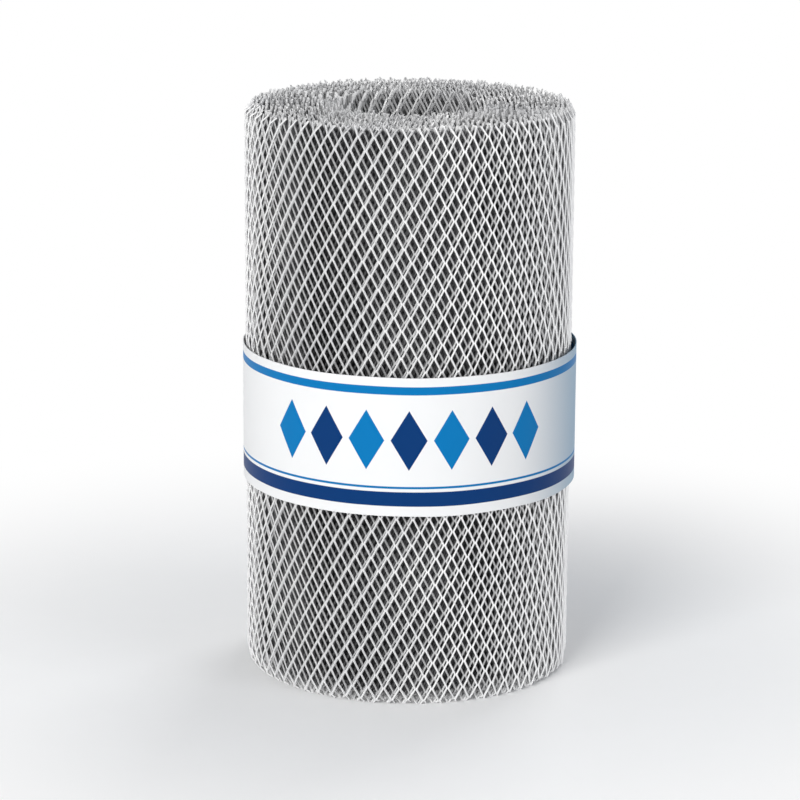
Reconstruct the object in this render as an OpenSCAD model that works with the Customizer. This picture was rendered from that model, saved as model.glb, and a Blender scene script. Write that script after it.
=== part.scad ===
// Roll of expanded aluminium mesh strip for covering gutters, with a paper label band.
// Millimetres. The roll stands on its end: +Z is its axis and z = 0 is its foot.

/* [Roll] */
// Width of the mesh strip, which is the height of the standing roll
strip_w = 200; // [150:1:300]
// Diameter of the open bore inside the innermost turn
bore_d = 50; // [30:1:90]
// Number of turns wound round the bore
turns = 19; // [8:1:40]
// Distance from one turn to the next, measured outwards
turn_pitch = 1.74; // [1:0.02:2.4]

/* [Ends of the roll] */
// Depth of the groove between two turns, as seen on either end
groove_depth = 2; // [0.4:0.1:4]
// Width of the flat edge on each turn
edge_w = 0.8; // [0.2:0.05:0.95]
// Radius of the shoulder where the outer turns curl inwards
shoulder_r = 3; // [2:0.5:8]

/* [Label band] */
// Height of the paper band
band_w = 48; // [20:1:70]
// Height of the band's lower edge above the foot of the roll
band_z = 68; // [20:1:75]
// Thickness of the paper
paper_t = 0.3; // [0.1:0.05:0.8]
// Clearance between the roll and the paper
band_gap = 0.3; // [0.1:0.05:1]
// Length of the glued lap at the back of the band
lap_len = 20; // [8:1:60]

/* [Hidden] */
bore_r = bore_d / 2;
roll_r = bore_r + turns * turn_pitch;
flank_w = (turn_pitch - edge_w) / 2;
band_r = roll_r + band_gap;
// The lap's length as an angle round the paper that it lies on
lap_angle = 180 * lap_len / (PI * (band_r + paper_t));
// Segments in a full circle
round_fn = 120;

// How far the shoulder has dropped at radius r
function shoulder_drop(r) =
    let (run = max(0, r - (roll_r - shoulder_r)))
    shoulder_r - sqrt(max(0, pow(shoulder_r, 2) - pow(run, 2)));

// Bottom of the groove inside turn i, as [radius, depth below the end plane]
function turn_groove(i) =
    let (r = bore_r + i * turn_pitch)
    [[r, shoulder_drop(r) + groove_depth]];

// Flat edge of turn i, as its inner and outer [radius, depth]
function turn_edge(i) =
    let (start = bore_r + i * turn_pitch + flank_w, end = start + edge_w)
    [[start, shoulder_drop(start)], [end, shoulder_drop(end)]];

// One end of the roll from the bore to the outer wall
end_profile = concat(
    [for (i = [0 : turns - 1]) each concat(turn_groove(i), turn_edge(i))],
    [[roll_r, shoulder_r]]
);

// The wound strip: a revolved ring whose turns show as ridges on both ends
module mesh_roll() {
    last = len(end_profile) - 1;
    top = [for (p = end_profile) [p[0], strip_w - p[1]]];
    foot = [for (i = [last : -1 : 0]) end_profile[i]];
    color([0.80, 0.81, 0.82])
        rotate_extrude($fn = round_fn)
            polygon(concat(top, foot));
}

// Outline of paper of thickness t wrapped round the axis at radius r
module paper_ring(r, t) {
    difference() {
        circle(r + t, $fn = round_fn);
        circle(r, $fn = round_fn);
    }
}

// Wedge about the back of the roll that holds the lap, past the paper's outside
module lap_wedge() {
    reach = 2 * band_r;
    side = reach * tan(lap_angle / 2);
    polygon([[0, 0], [side, reach], [-side, reach]]);
}

// The label: a closed sleeve with a second layer of paper where its ends lap
module label_band() {
    color([0.95, 0.96, 0.98])
        translate([0, 0, band_z])
            linear_extrude(band_w) {
                paper_ring(band_r, paper_t);
                intersection() {
                    paper_ring(band_r, 2 * paper_t);
                    lap_wedge();
                }
            }
}

mesh_roll();
label_band();
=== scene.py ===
import math

import bpy
from mathutils import Matrix, Vector, noise


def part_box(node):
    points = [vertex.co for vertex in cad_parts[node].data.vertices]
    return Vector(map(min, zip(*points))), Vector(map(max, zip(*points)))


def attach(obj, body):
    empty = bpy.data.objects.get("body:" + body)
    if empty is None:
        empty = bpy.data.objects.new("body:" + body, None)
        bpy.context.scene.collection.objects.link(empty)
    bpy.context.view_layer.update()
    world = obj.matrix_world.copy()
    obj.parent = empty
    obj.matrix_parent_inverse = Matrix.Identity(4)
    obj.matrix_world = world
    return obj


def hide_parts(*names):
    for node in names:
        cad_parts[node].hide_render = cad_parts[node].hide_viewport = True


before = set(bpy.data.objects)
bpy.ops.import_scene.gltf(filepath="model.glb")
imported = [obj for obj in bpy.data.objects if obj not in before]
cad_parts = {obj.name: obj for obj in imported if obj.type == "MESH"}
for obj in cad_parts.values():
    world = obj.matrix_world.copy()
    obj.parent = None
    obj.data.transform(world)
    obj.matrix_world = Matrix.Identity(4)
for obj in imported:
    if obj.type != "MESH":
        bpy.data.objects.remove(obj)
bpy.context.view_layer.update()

mm = 0.001
rollLow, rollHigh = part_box("mesh_roll")
bandLow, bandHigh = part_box("label_band")
rollHeight = rollHigh[2] - rollLow[2]
rollRadius = (rollHigh[0] - rollLow[0]) / 2
rollMiddle = Vector((0.0, 0.0, rollHeight / 2))
bandHeight = bandHigh[2] - bandLow[2]
print("frame loaded")


def addObject(name, data):
    added = bpy.data.objects.new(name, data)
    bpy.context.scene.collection.objects.link(added)
    return added


def lookingAt(aim, place):
    return (Vector(aim) - Vector(place)).to_track_quat("-Z", "Y")


def triangles(piece):
    return sum(len(face.vertices) - 2 for face in piece.data.polygons)


# camera and studio

photoView = {
    "distance": 1.154,                       # metres, from the middle of the roll to the lens
    "elevation": math.radians(13.9),
    "focalPixels": 3275.0,
    "imageWidth": 800,
    "sensorWidth": 36.0,
    "clipNear": 0.01,
    "clipFar": 100.0,
    "aimSide": -3.3 * mm,                    # the roll stands a little right of the middle
    "aimDrop": -6.2 * mm,                    # and a little above it
    "lean": math.radians(0.33),
}

studio = {
    "floorSize": 6.0,
    "floorColor": (0.96, 0.96, 0.96),
    "floorSpeckle": (0.9792, 0.9792, 0.9792),
    "speckleScale": 60.0,
    "backdropWhite": (1.0, 1.0, 1.0),
    "skyColor": (0.86, 0.90, 0.96),
    "skyStrength": 0.35,
    "floorFade": (0.08, 0.30),               # the floor runs into the white backdrop
    "sweepFade": (0.0, 0.10),                # metal sees the white sweep from here outwards
    "gapColor": (0.03, 0.03, 0.03),          # and a dark gap between the sweep and the ceiling
    "gapStart": (0.26, 0.50),                # sines of the height above the horizon
    "gapEnd": (0.70, 0.90),
}

# places and sizes in metres
softboxes = {
    "keySoftbox": {
        "place": (-0.75, -1.35, 0.85),
        "aim": (0.0, 0.0, 0.10),
        "size": (0.9, 0.9),
        "watts": 22.0,
        "color": (1.0, 0.99, 0.97),
    },
    "fillSoftbox": {
        "place": (1.30, -0.80, 0.60),
        "aim": (0.0, 0.0, 0.10),
        "size": (0.8, 1.1),
        "watts": 5.0,
        "color": (0.97, 0.98, 1.0),
    },
    "rimSoftbox": {
        "place": (0.55, 1.20, 1.00),
        "aim": (0.0, 0.0, 0.14),
        "size": (0.8, 0.8),
        "watts": 8.0,
        "color": (1.0, 1.0, 1.0),
    },
}


def addCamera():
    data = bpy.data.cameras.new("photoCamera")
    data.sensor_width = photoView["sensorWidth"]
    data.lens = photoView["focalPixels"] / photoView["imageWidth"] * data.sensor_width
    data.clip_start = photoView["clipNear"]
    data.clip_end = photoView["clipFar"]
    camera = addObject("photoCamera", data)
    rise = photoView["elevation"]
    away = Vector((0.0, -math.cos(rise), math.sin(rise)))
    camera.location = rollMiddle + away * photoView["distance"]
    aim = rollMiddle + Vector((photoView["aimSide"], 0.0, photoView["aimDrop"]))
    lean = Matrix.Rotation(photoView["lean"], 3, "Z")
    camera.rotation_euler = (lookingAt(aim, camera.location).to_matrix() @ lean).to_euler()
    bpy.context.scene.camera = camera


def addSoftbox(name, place, aim, size, watts, color):
    data = bpy.data.lights.new(name, "AREA")
    data.shape = "RECTANGLE"
    data.size, data.size_y = size
    data.energy = watts
    data.color = color
    lamp = addObject(name, data)
    lamp.location = place
    lamp.rotation_euler = lookingAt(aim, place).to_euler()
    lamp.visible_glossy = False


# node wiring shared by the geometry tree and the materials

def plug(tree, value, socket):
    if isinstance(value, Wire):
        tree.links.new(value.socket, socket)
    elif isinstance(value, bpy.types.NodeSocket):
        tree.links.new(value, socket)
    else:
        socket.default_value = value


def addNode(tree, kind, *values):
    # a node whose first inputs get the values in turn
    node = tree.nodes.new(kind)
    for value, socket in zip(values, node.inputs):
        plug(tree, value, socket)
    return node


class Wire:
    # a number on its way through a node tree, so that node sums read as sums
    def __init__(self, tree, socket):
        self.tree = tree
        self.socket = socket

    def worked(self, operation, *values):
        node = addNode(self.tree, "ShaderNodeMath", *values)
        node.operation = operation
        return Wire(self.tree, node.outputs[0])

    def __add__(self, other):
        return self.worked("ADD", self, other)

    def __radd__(self, other):
        return self.worked("ADD", other, self)

    def __sub__(self, other):
        return self.worked("SUBTRACT", self, other)

    def __rsub__(self, other):
        return self.worked("SUBTRACT", other, self)

    def __mul__(self, other):
        return self.worked("MULTIPLY", self, other)

    def __truediv__(self, other):
        return self.worked("DIVIDE", self, other)

    def floored(self):
        return self.worked("FLOOR", self)

    def rounded(self):
        return self.worked("ROUND", self)

    def remainder(self, by):
        return self.worked("FLOORED_MODULO", self, by)

    def atLeast(self, low):
        return self.worked("MAXIMUM", self, low)

    def atMost(self, high):
        return self.worked("MINIMUM", self, high)

    def kept(self, low, high):
        return self.atLeast(low).atMost(high)

    def absolute(self):
        return self.worked("ABSOLUTE", self)

    def sign(self):
        return self.worked("SIGN", self)

    def sine(self):
        return self.worked("SINE", self)

    def cosine(self):
        return self.worked("COSINE", self)

    def root(self):
        return self.worked("SQRT", self)

    def exponential(self):
        return self.worked("EXPONENT", self)


def separated(tree, vector):
    node = addNode(tree, "ShaderNodeSeparateXYZ", vector)
    return [Wire(tree, output) for output in node.outputs]


def combined(x, y, z):
    return addNode(x.tree, "ShaderNodeCombineXYZ", x, y, z).outputs[0]


def noiseAt(tree, vector, scale=1.0, detail=1.0, roughness=0.5):
    node = tree.nodes.new("ShaderNodeTexNoise")
    plug(tree, vector, node.inputs["Vector"])
    node.inputs["Scale"].default_value = scale
    node.inputs["Detail"].default_value = detail
    node.inputs["Roughness"].default_value = roughness
    return Wire(tree, node.outputs["Fac"])


# materials

aluminium = {
    "color": (0.95, 0.95, 0.95),
    "dark": (0.86, 0.86, 0.87),
    "wearRange": (0.35, 0.65),
    "patchScale": 35.0,
    "patchShare": 0.6,                       # of the wear, and grain is the rest
    "grainScale": 900.0,
    "grainBump": 0.15,
    "bumpDistance": 0.05 * mm,
    "roughness": 0.38,
    "roughnessSpread": 0.2,
    "metallic": 0.5,
    # painted shade: the deep turns are mixed to these dark colours, the second where the wear pattern
    # is worn
    "paintedShade": (0.07, 0.07, 0.072),
    "paintedShadeWorn": (0.16, 0.16, 0.164),
    "wallDepth": (1.8 * mm, 5.0 * mm),       # painted shade sets in over these depths below the outside or the bore
    "boreShare": 0.5,                        # depth from the bore counts half, as light falls in
    "endDepth": (0.6 * mm, 3.0 * mm),        # and over these below the top or above the foot
}


def newMaterial(name):
    material = bpy.data.materials.new(name)
    material.use_nodes = True
    material.node_tree.nodes.clear()
    return material, material.node_tree


def objectPlace(tree):
    return tree.nodes.new("ShaderNodeTexCoord").outputs["Object"]


def mixColor(tree, factor, first, second):
    node = tree.nodes.new("ShaderNodeMix")
    node.data_type = "RGBA"
    plug(tree, factor, node.inputs["Factor"])
    for value, socket in zip((first, second), (node.inputs[6], node.inputs[7])):
        plug(tree, (*value, 1.0) if isinstance(value, tuple) else value, socket)
    return node.outputs[2]


def mixShader(tree, factor, first, second):
    return addNode(tree, "ShaderNodeMixShader", factor, first, second).outputs[0]


def setSurface(tree, kind, surface):
    plug(tree, surface, tree.nodes.new(kind).inputs["Surface"])


def ramp(value, low, high):
    # 0 below low, 1 above high, smooth between
    node = value.tree.nodes.new("ShaderNodeMapRange")
    node.interpolation_type = "SMOOTHSTEP"
    plug(value.tree, value, node.inputs["Value"])
    node.inputs["From Min"].default_value = low
    node.inputs["From Max"].default_value = high
    return Wire(value.tree, node.outputs["Result"])


def fromAxis(x, y):
    return (x * x + y * y).root()


def aluminiumMaterial():
    material, tree = newMaterial("cut_aluminium")
    place = objectPlace(tree)
    grain = noiseAt(tree, place, aluminium["grainScale"], detail=3.0, roughness=0.6)
    patch = noiseAt(tree, place, aluminium["patchScale"], detail=2.0)
    wear = patch * aluminium["patchShare"] + grain * (1 - aluminium["patchShare"])
    wear = ramp(wear, *aluminium["wearRange"])
    roughness = aluminium["roughness"] + (grain - 0.5) * aluminium["roughnessSpread"]
    bump = tree.nodes.new("ShaderNodeBump")
    bump.inputs["Strength"].default_value = aluminium["grainBump"]
    bump.inputs["Distance"].default_value = aluminium["bumpDistance"]
    plug(tree, grain, bump.inputs["Height"])
    bright = tree.nodes.new("ShaderNodeBsdfPrincipled")
    bright.inputs["Metallic"].default_value = aluminium["metallic"]
    plug(tree, mixColor(tree, wear, aluminium["dark"], aluminium["color"]), bright.inputs["Base Color"])
    plug(tree, roughness, bright.inputs["Roughness"])
    plug(tree, bump.outputs[0], bright.inputs["Normal"])
    # painted shade: the turns deep inside the coil, below its walls and ends, are mixed to a dark
    # diffuse colour where the light dies away
    x, y, z = separated(tree, place)
    radius = fromAxis(x, y)
    boreDepth = (radius - meshStrip["boreRadius"]) * aluminium["boreShare"]
    wall = (rollRadius - radius).atMost(boreDepth)
    end = z.atMost(rollHeight - z)
    paintedShadeMask = ramp(wall, *aluminium["wallDepth"]).atMost(ramp(end, *aluminium["endDepth"]))
    # the painted shade's dark colour, a little lighter where the wear pattern is worn
    paintedShadeColor = mixColor(tree, wear, aluminium["paintedShade"], aluminium["paintedShadeWorn"])
    paintedShade = addNode(tree, "ShaderNodeBsdfDiffuse", paintedShadeColor)
    # mixes the painted shade over the bright metal by the depth mask
    surface = mixShader(tree, paintedShadeMask, bright.outputs[0], paintedShade.outputs[0])
    setSurface(tree, "ShaderNodeOutputMaterial", surface)
    return material


# the wound mesh strip

meshStrip = {
    "turnPitch": 1.74 * mm,
    "boreRadius": 25.0 * mm,
    "diamondWidth": 5.495 * mm,              # round the roll
    "diamondsHigh": 21.5,                    # up the roll
    "strandWidth": 0.62 * mm,
    "sheetThickness": 0.50 * mm,
    "strandTilt": math.radians(30.0),        # how far stretching turned the strands
    "knuckleLength": 0.4 * mm,
    "skewPerTurn": 0.307,                    # diamonds that the pattern climbs in one turn
    "lean": 0.0225,                          # the diamonds lean a little to the right
    "rowWander": 1.6 * mm,                   # how far the rows wander up and down
    "placeWander": 0.66 * mm,                # and the diamonds along the strip
    "wanderPhase": math.radians(95.0),
    "startAngle": math.radians(100.0),       # where the loose end lies, at the back
    "slack": 0.12 * mm,                      # how far the turns lie off their spiral
    "slackWaves": (0.55, 14.0),              # noise steps per radian round and per metre up
    "curlLength": 4.2 * mm,
    "curlAngle": math.radians(62.0),         # how far the outer turn's edges curl inwards
    "curlTurns": 0.9,                        # turns over which the curl dies away
    "innerCurl": math.radians(10.0),
    "edgeScatter": math.radians(70.0),
    "outerCalm": 0.7,                        # share of the scatter that the outer turn lacks
    "scatterWaves": (0.9, 5.3),              # noise steps per diamond along and per edge
    "edgeJog": 4.0 * mm,                     # how unevenly the tips stand
    "jogWaves": (1.7, 9.1),
    "edgeReach": 1.2 * mm,                   # how far above the top the tips may stand
    "footGap": 0.05 * mm,                    # the lowest tips end just above the floor
    "sliver": 0.02 * mm,                     # the rings past a cut edge lie this close together
    "seed": 7.0,
    "jogSeed": 27.0,
    "fineTurns": 2,                          # outer turns whose knuckles are modelled flat
    "coarsePieces": 3,
}

ribbonSides = 4
ribbonStep = meshStrip["diamondWidth"] / 2
halfRows = int(meshStrip["diamondsHigh"] * 2)
rowStep = rollHeight / halfRows
pitchPerRadian = meshStrip["turnPitch"] / (2 * math.pi)

# the strip's middle line stays so far inside both walls that its strands just reach them
strandReach = meshStrip["strandWidth"] * math.sin(meshStrip["strandTilt"])
strandReach += meshStrip["sheetThickness"] / 2 * math.cos(meshStrip["strandTilt"])
outerEnd = rollRadius - strandReach
innerEnd = meshStrip["boreRadius"] + strandReach


def spiralRadius(length):
    # of the strip's middle line, at a length along it from the outer end, when each turn lies
    # one pitch inside the last
    return (outerEnd ** 2 - length * pitchPerRadian * 2).root()


def spiralAngle(radius):
    return (outerEnd - radius) / pitchPerRadian


def addRibbons(tree, count, rings):
    # straight four-sided bars, all in one place, with a ring of corners at each coming bend
    bar = tree.nodes.new("GeometryNodeMeshCylinder")
    bar.fill_type = "NGON"
    bar.inputs["Vertices"].default_value = ribbonSides
    bar.inputs["Radius"].default_value = 1.0
    bar.inputs["Depth"].default_value = 1.0
    plug(tree, rings - 1, bar.inputs["Side Segments"])
    points = addNode(tree, "GeometryNodePoints", count)
    copies = tree.nodes.new("GeometryNodeInstanceOnPoints")
    plug(tree, points.outputs[0], copies.inputs["Points"])
    plug(tree, bar.outputs["Mesh"], copies.inputs["Instance"])
    return addNode(tree, "GeometryNodeRealizeInstances", copies.outputs[0]).outputs[0]


def flatMesh(tree, firstRibbon, ringsPerKnuckle, rings):
    # the strip before it is wound: how far each corner of the ribbons lies along it, across it
    # and out of it, when each ribbon zigzags and meets its neighbours at the knuckles
    index = Wire(tree, tree.nodes.new("GeometryNodeInputIndex").outputs[0])
    position = tree.nodes.new("GeometryNodeInputPosition").outputs[0]
    cornerX, cornerY, level = separated(tree, position)
    ribbon = (index / (rings * ribbonSides)).floored() + firstRibbon
    ring = ((level + 0.5) * (rings - 1)).rounded()

    # the rows of knuckles climb and wander along the strip, and are trimmed at its cut edges
    ribbonAlong = ribbon * ribbonStep
    halfAngle = spiralAngle(spiralRadius(ribbonAlong)) / 2
    wander = (halfAngle + meshStrip["wanderPhase"]).sine()
    rowsPerMetre = meshStrip["skewPerTurn"] * 2 / (2 * math.pi * outerEnd)
    climb = ribbonAlong * rowsPerMetre + wander * (meshStrip["rowWander"] / rowStep)
    wraps = climb.floored()
    offset = (climb - wraps) * rowStep
    knuckle = (ring / ringsPerKnuckle).floored()
    side = (ring - knuckle * ringsPerKnuckle) * 2 - (ringsPerKnuckle - 1)
    across = (knuckle - 1) * rowStep + side * (meshStrip["knuckleLength"] / 2) + offset
    sliver = meshStrip["sliver"]
    across = across.kept(ring * sliver, rollHeight - (rings - 1 - ring) * sliver)

    # the zigzag, with flats at the knuckles where they have two rings
    phase = (across - offset) / rowStep / 2
    wave = (phase - phase.floored() - 0.5).absolute() * 4 - 1
    slope = 1 - (ringsPerKnuckle - 1) * (meshStrip["knuckleLength"] / rowStep)
    swing = (wave / slope).kept(-1, 1) * (1 - (ribbon + wraps).remainder(2) * 2)

    # each strand is a flat bar, tilted out of the sheet
    tiltSine = math.sin(meshStrip["strandTilt"])
    tiltCosine = math.cos(meshStrip["strandTilt"])
    width = meshStrip["strandWidth"]
    swingReach = (ribbonStep - width * tiltCosine) / 2
    flatSide = (cornerX - cornerY) * (width / 2)
    thickSide = (cornerX + cornerY) * (meshStrip["sheetThickness"] / 2)
    shift = (across - rollHeight / 2) * meshStrip["lean"] - wander * meshStrip["placeWander"]
    along = ribbonAlong + shift + swing * swingReach + flatSide * tiltCosine - thickSide * tiltSine
    lift = flatSide * tiltSine + thickSide * tiltCosine - swing * (width * tiltSine / 2)
    return along, across, lift


def unevenness(x, y, waves, seed):
    # smooth noise round zero
    place = combined(x * waves[0], y * waves[1], seed)
    return noiseAt(x.tree, place) - 0.5


def windUp(along, across, lift):
    # where the corner goes in the roll: its distance from the axis, its angle and its height
    spiral = spiralRadius(along)
    turned = spiralAngle(spiral)
    slack = unevenness(turned, across, meshStrip["slackWaves"], meshStrip["seed"])
    slack = slack * (meshStrip["slack"] * 2)

    # the edges curl inwards on the outer turns and stand unevenly on all of them
    end = (across * 2 - rollHeight).sign()
    curlLength = meshStrip["curlLength"]
    fromEdge = across.atMost(rollHeight - across)
    bend = (1 - fromEdge / curlLength).kept(0, 1)
    diamond = along / ribbonStep / 2
    scatter = unevenness(diamond, end, meshStrip["scatterWaves"], meshStrip["seed"])
    jog = unevenness(diamond, end, meshStrip["jogWaves"], meshStrip["jogSeed"])
    fade = (turned / (-2 * math.pi * meshStrip["curlTurns"])).exponential()
    curl = fade * meshStrip["curlAngle"] + meshStrip["innerCurl"]
    curl = curl + scatter * meshStrip["edgeScatter"] * (1 - fade * meshStrip["outerCalm"])
    curl = curl * bend
    # the chord of the curled arc, by the first two terms of its series
    bent = bend * curlLength
    chord = bent * (1 - curl * curl / 24)
    inward = chord * (curl / 2).sine()
    upward = chord * (curl / 2).cosine() - bent
    radius = spiral + slack + lift * curl.cosine() - inward
    height = across + end * (upward + lift * curl.sine() + jog * meshStrip["edgeJog"] * bend)
    height = height.kept(meshStrip["footGap"], rollHeight + meshStrip["edgeReach"])
    return radius, turned + meshStrip["startAngle"], height


def stripTree(material):
    # the geometry nodes that lay ribbons of sheet side by side as a mesh and wind it up
    tree = bpy.data.node_groups.new("woundMesh", "GeometryNodeTree")
    tree.interface.new_socket("Geometry", in_out="OUTPUT", socket_type="NodeSocketGeometry")
    tree.interface.new_socket("Geometry", in_out="INPUT", socket_type="NodeSocketGeometry")
    for name in ("First Ribbon", "Ribbon Count", "Rings Per Knuckle"):
        tree.interface.new_socket(name, in_out="INPUT", socket_type="NodeSocketInt")
    sockets = tree.nodes.new("NodeGroupInput").outputs
    ringsPerKnuckle = Wire(tree, sockets["Rings Per Knuckle"])
    # two rows of knuckles more than the strip holds, as the rows climb
    rings = ringsPerKnuckle * (halfRows + 2)
    ribbons = addRibbons(tree, sockets["Ribbon Count"], rings)
    corner = flatMesh(tree, Wire(tree, sockets["First Ribbon"]), ringsPerKnuckle, rings)
    radius, angle, height = windUp(*corner)
    wound = addNode(tree, "GeometryNodeSetPosition", ribbons)
    place = combined(radius * angle.cosine(), radius * angle.sine(), height)
    plug(tree, place, wound.inputs["Position"])
    # winding turns the ribbons inside out
    outward = addNode(tree, "GeometryNodeFlipFaces", wound.outputs[0])
    coated = addNode(tree, "GeometryNodeSetMaterial", outward.outputs[0])
    coated.inputs["Material"].default_value = material
    addNode(tree, "NodeGroupOutput", coated.outputs[0])
    return tree


def grow(name, tree, values):
    # runs a geometry tree on an empty object and keeps the result as a plain mesh
    seedMesh = bpy.data.meshes.new(name + "Seed")
    holder = addObject(name + "Holder", seedMesh)
    modifier = holder.modifiers.new("grow", "NODES")
    modifier.node_group = tree
    for item in tree.interface.items_tree:
        if item.name in values:
            modifier[item.identifier] = values[item.name]
    holder.update_tag()
    graph = bpy.context.evaluated_depsgraph_get()
    graph.update()
    mesh = bpy.data.meshes.new_from_object(holder.evaluated_get(graph), depsgraph=graph)
    mesh.name = name
    bpy.data.objects.remove(holder)
    bpy.data.meshes.remove(seedMesh)
    return addObject(name, mesh)


def ribbonCuts():
    # the first ribbon of each piece, and the end of the last: the outer turns, then like shares
    length = math.pi * (outerEnd ** 2 - innerEnd ** 2) / meshStrip["turnPitch"]
    total = int(length / ribbonStep)
    fine = int(meshStrip["fineTurns"] * 2 * math.pi * outerEnd / ribbonStep)
    shares = meshStrip["coarsePieces"]
    return [0] + [fine + round((total - fine) * part / shares) for part in range(shares + 1)]


def addMeshStrip(material):
    tree = stripTree(material)
    cuts = ribbonCuts()
    for part, (first, last) in enumerate(zip(cuts, cuts[1:])):
        # two rings of corners at a knuckle make it flat
        piece = grow(f"mesh_turns_{part + 1}", tree, {
            "First Ribbon": first,
            "Ribbon Count": last - first,
            "Rings Per Knuckle": 2 if part == 0 else 1,
        })
        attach(piece, "root")
        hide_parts("mesh_roll")
        print(piece.name, "ribbons", first, "to", last, "triangles", triangles(piece))


# the printed paper band

paperBand = {
    "thickness": 0.3 * mm,
    "tighter": 0.2 * mm,                     # than the solid, which stands clear of the roll
    "lap": 20.0 * mm,                        # glued on itself at the back
    "lapRise": 6.0 * mm,                     # length over which the outer end climbs
    "lapGap": 0.02 * mm,
    "columns": 420,
    "rows": 16,
    "bow": 0.10 * mm,                        # the paper stands off a little in places
    "bowWaves": (3.0, 1.5),                  # radius and height of the cylinder of noise it follows
    "bowSeed": 0.0,
    "edgeWave": 0.25 * mm,
    "edgeWaves": (2.2, 1.0),
    "edgeSeed": 7.0,
    "sharpAngle": math.radians(40.0),
    "ground": (0.80, 0.805, 0.81),
    # painted shade: the ground turns blue-grey towards the right side and behind, standing in for the
    # side of the band turned from the key light
    "paintedSideShade": (0.22, 0.365, 0.50),
    "paintedShadeRise": (36.0 * mm, 92.0 * mm),     # painted shade rises towards the right, and goes away again behind
    "paintedShadeFall": (110.0 * mm, 165.0 * mm),
    "navy": (0.0, 0.034, 0.150),
    "blue": (0.0, 0.165, 0.430),
    "roughness": 0.45,
    "roughnessSpread": 0.1,
    "fibreScale": 1500.0,
    "specular": 0.12,
    "lowStripe": (3.5 * mm, 8.5 * mm),       # from the band's lower edge
    "lowLine": (9.6 * mm, 10.4 * mm),
    "highStripe": (42.2 * mm, 45.0 * mm),
    "lozengePitch": 14.5 * mm,
    "lozengeSize": (12.5 * mm, 21.0 * mm),
    "lozengeMiddle": 26.4 * mm,
    "lozengesEachSide": 3,
    "softEdge": 0.06 * mm,
}

bandInside = (bandHigh[0] - bandLow[0]) / 2 - paperBand["thickness"] - paperBand["tighter"]
bandLength = 2 * math.pi * bandInside + paperBand["lap"]


def between(value, low, high, soft):
    # 1 between low and high, with soft edges
    return ramp(value, low - soft, low + soft) * (1 - ramp(value, high - soft, high + soft))


def lozenges(along, height):
    # a row of plain lozenges round the front: how much one covers a place, and its number as
    # counted from the middle
    soft = paperBand["softEdge"]
    width, tall = paperBand["lozengeSize"]
    number = (along / paperBand["lozengePitch"]).rounded()
    aside = (along - number * paperBand["lozengePitch"]).absolute() / (width / 2)
    above = (height - paperBand["lozengeMiddle"]).absolute() / (tall / 2)
    # the two add up to 1 on a lozenge's edge
    cover = 1 - ramp(aside + above, 1 - soft / width * 4, 1.0)
    number = number.absolute()
    # the row stops between the last lozenge and the next number
    last = paperBand["lozengesEachSide"]
    return cover * (1 - ramp(number, last + 0.2, last + 0.4)), number


def paperMaterial():
    material, tree = newMaterial("printed_paper")
    layout = tree.nodes.new("ShaderNodeUVMap")
    layout.uv_map = "print"
    share, up = separated(tree, layout.outputs[0])[:2]
    along = (share - 0.5) * bandLength
    height = up * bandHeight
    # painted shade on the ground, rising towards the right and falling away again behind
    paintedSideShading = ramp(along, *paperBand["paintedShadeRise"]) * (1 - ramp(along, *paperBand["paintedShadeFall"]))
    ground = mixColor(tree, paintedSideShading, paperBand["ground"], paperBand["paintedSideShade"])
    soft = paperBand["softEdge"]
    navy = between(height, *paperBand["lowStripe"], soft)
    blue = between(height, *paperBand["highStripe"], soft)
    blue = blue + between(height, *paperBand["lowLine"], soft)
    lozenge, number = lozenges(along, height)
    odd = number.remainder(2)
    navy = navy + lozenge * (1 - odd)
    blue = blue + lozenge * odd
    color = mixColor(tree, navy.kept(0, 1), ground, paperBand["navy"])
    color = mixColor(tree, blue.kept(0, 1), color, paperBand["blue"])
    fibre = noiseAt(tree, objectPlace(tree), paperBand["fibreScale"], detail=2.0)
    roughness = paperBand["roughness"] + (fibre - 0.5) * paperBand["roughnessSpread"]
    paper = tree.nodes.new("ShaderNodeBsdfPrincipled")
    paper.inputs["Specular IOR Level"].default_value = paperBand["specular"]
    plug(tree, color, paper.inputs["Base Color"])
    plug(tree, roughness, paper.inputs["Roughness"])
    setSurface(tree, "ShaderNodeOutputMaterial", paper.outputs[0])
    return material


def unevenPaper(angle, up, waves, seed):
    # smooth noise round zero, which closes on itself round the roll
    place = (waves[0] * math.cos(angle), waves[0] * math.sin(angle), seed + up * waves[1])
    return noise.noise(Vector(place))


def paperPoints():
    # corners of the inner and outer face, column by column, and their places in the print
    band = paperBand
    points, places = [], []
    for column in range(band["columns"] + 1):
        run = bandLength * column / band["columns"]
        angle = math.pi / 2 + (run - band["lap"] / 2) / bandInside
        # the outer end climbs smoothly onto the inner one
        climb = (run - (bandLength - band["lap"] - band["lapRise"])) / band["lapRise"]
        climb = min(1.0, max(0.0, climb))
        rise = (band["thickness"] + band["lapGap"]) * climb * climb * (3 - 2 * climb)
        for row in range(band["rows"] + 1):
            up = row / band["rows"]
            wave = unevenPaper(angle, up, band["bowWaves"], band["bowSeed"])
            bow = band["bow"] * (0.5 + 0.5 * wave) * (1 - climb) * min(1.0, run / band["lap"])
            # the edges wave and the middle doesn't
            edge = (2 * up - 1) * abs(2 * up - 1)
            edge *= band["edgeWave"] * unevenPaper(angle, up, band["edgeWaves"], band["edgeSeed"])
            for side in (0.0, band["thickness"]):
                radius = bandInside + rise + bow + side
                x = radius * math.cos(angle)
                y = radius * math.sin(angle)
                points.append((x, y, bandLow[2] + bandHeight * up + edge))
                places.append((run / bandLength, up))
    return points, places


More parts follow.
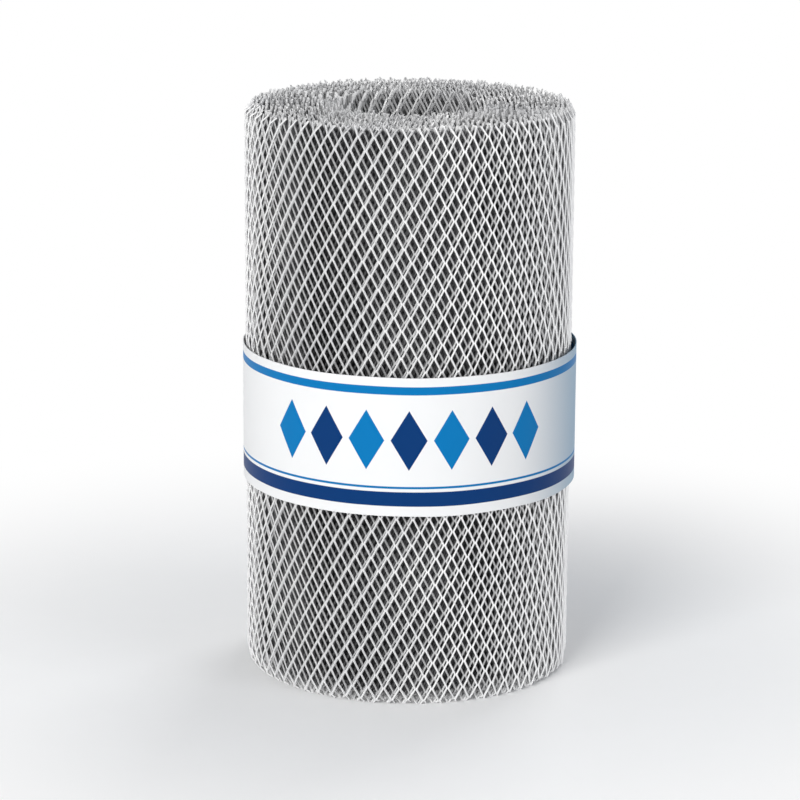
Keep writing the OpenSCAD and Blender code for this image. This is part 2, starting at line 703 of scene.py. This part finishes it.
def paperFaces():
    columns, rows = paperBand["columns"], paperBand["rows"]
    faces = []

    def addFace(corners, turned):
        face = [(column * (rows + 1) + row) * 2 + side for column, row, side in corners]
        faces.append(face[::-1] if turned else face)

    for column in range(columns):
        for row in range(rows):
            for side in (0, 1):
                quad = [(column, row, side), (column + 1, row, side),
                        (column + 1, row + 1, side), (column, row + 1, side)]
                addFace(quad, turned=side == 0)
        for row in (0, rows):
            quad = [(column, row, 0), (column + 1, row, 0), (column + 1, row, 1), (column, row, 1)]
            addFace(quad, turned=row == rows)
    for row in range(rows):
        for column in (0, columns):
            quad = [(column, row, 0), (column, row, 1), (column, row + 1, 1), (column, row + 1, 0)]
            addFace(quad, turned=column == columns)
    return faces


def addPaperBand(material):
    points, places = paperPoints()
    mesh = bpy.data.meshes.new("paper_band")
    mesh.from_pydata(points, [], paperFaces())
    layout = mesh.uv_layers.new(name="print")
    for loop in mesh.loops:
        layout.data[loop.index].uv = places[loop.vertex_index]
    mesh.materials.append(material)
    mesh.shade_smooth()
    mesh.set_sharp_from_angle(angle=paperBand["sharpAngle"])
    piece = addObject("paper_band", mesh)
    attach(piece, "root")
    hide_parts("label_band")
    print(piece.name, "triangles", triangles(piece))


# floor and backdrop

def backdropRays(tree):
    # whether a ray shows the backdrop, and whether it came off metal
    path = tree.nodes.new("ShaderNodeLightPath")
    mirrored = Wire(tree, path.outputs["Is Glossy Ray"])
    seen = Wire(tree, path.outputs["Is Camera Ray"]).atLeast(mirrored)
    return seen.atLeast(Wire(tree, path.outputs["Is Transmission Ray"])), mirrored


def floorMaterial():
    material, tree = newMaterial("pale_floor")
    place = objectPlace(tree)
    x, y = separated(tree, place)[:2]
    away = fromAxis(x, y)
    speckle = noiseAt(tree, place, studio["speckleScale"], detail=2.0)
    tone = mixColor(tree, speckle, studio["floorColor"], studio["floorSpeckle"])
    paint = addNode(tree, "ShaderNodeBsdfDiffuse", tone)
    glow = addNode(tree, "ShaderNodeEmission", (*studio["backdropWhite"], 1.0))
    seen, mirrored = backdropRays(tree)
    far = ramp(away, *studio["floorFade"]) * seen
    far = far.atLeast(ramp(away, *studio["sweepFade"]) * mirrored)
    surface = mixShader(tree, far, paint.outputs[0], glow.outputs[0])
    setSurface(tree, "ShaderNodeOutputMaterial", surface)
    return material


def addFloor():
    half = studio["floorSize"] / 2
    mesh = bpy.data.meshes.new("floor")
    corners = [(-half, -half, 0.0), (half, -half, 0.0), (half, half, 0.0), (-half, half, 0.0)]
    mesh.from_pydata(corners, [], [(0, 1, 2, 3)])
    mesh.materials.append(floorMaterial())
    addObject("floor", mesh)


def setWorld():
    world = bpy.data.worlds.new("studioWorld")
    bpy.context.scene.world = world
    world.use_nodes = True
    tree = world.node_tree
    tree.nodes.clear()
    # metal mirrors a dark gap above the white sweep, and a white ceiling over all
    direction = tree.nodes.new("ShaderNodeTexCoord").outputs["Generated"]
    rise = separated(tree, direction)[2]
    seen, mirrored = backdropRays(tree)
    gap = ramp(rise, *studio["gapStart"]) * (1 - ramp(rise, *studio["gapEnd"])) * mirrored
    backdrop = mixColor(tree, gap, studio["backdropWhite"], studio["gapColor"])
    shown = addNode(tree, "ShaderNodeBackground", backdrop)
    sky = addNode(tree, "ShaderNodeBackground", (*studio["skyColor"], 1.0), studio["skyStrength"])
    surface = mixShader(tree, seen, sky.outputs[0], shown.outputs[0])
    setSurface(tree, "ShaderNodeOutputWorld", surface)


addCamera()
for lampName, lampFacts in softboxes.items():
    addSoftbox(lampName, **lampFacts)
addFloor()
setWorld()
bpy.context.scene.view_settings.view_transform = "Standard"
print("studio ready")

addMeshStrip(aluminiumMaterial())
print("mesh strip wound")

addPaperBand(paperMaterial())
print("paper band wrapped")
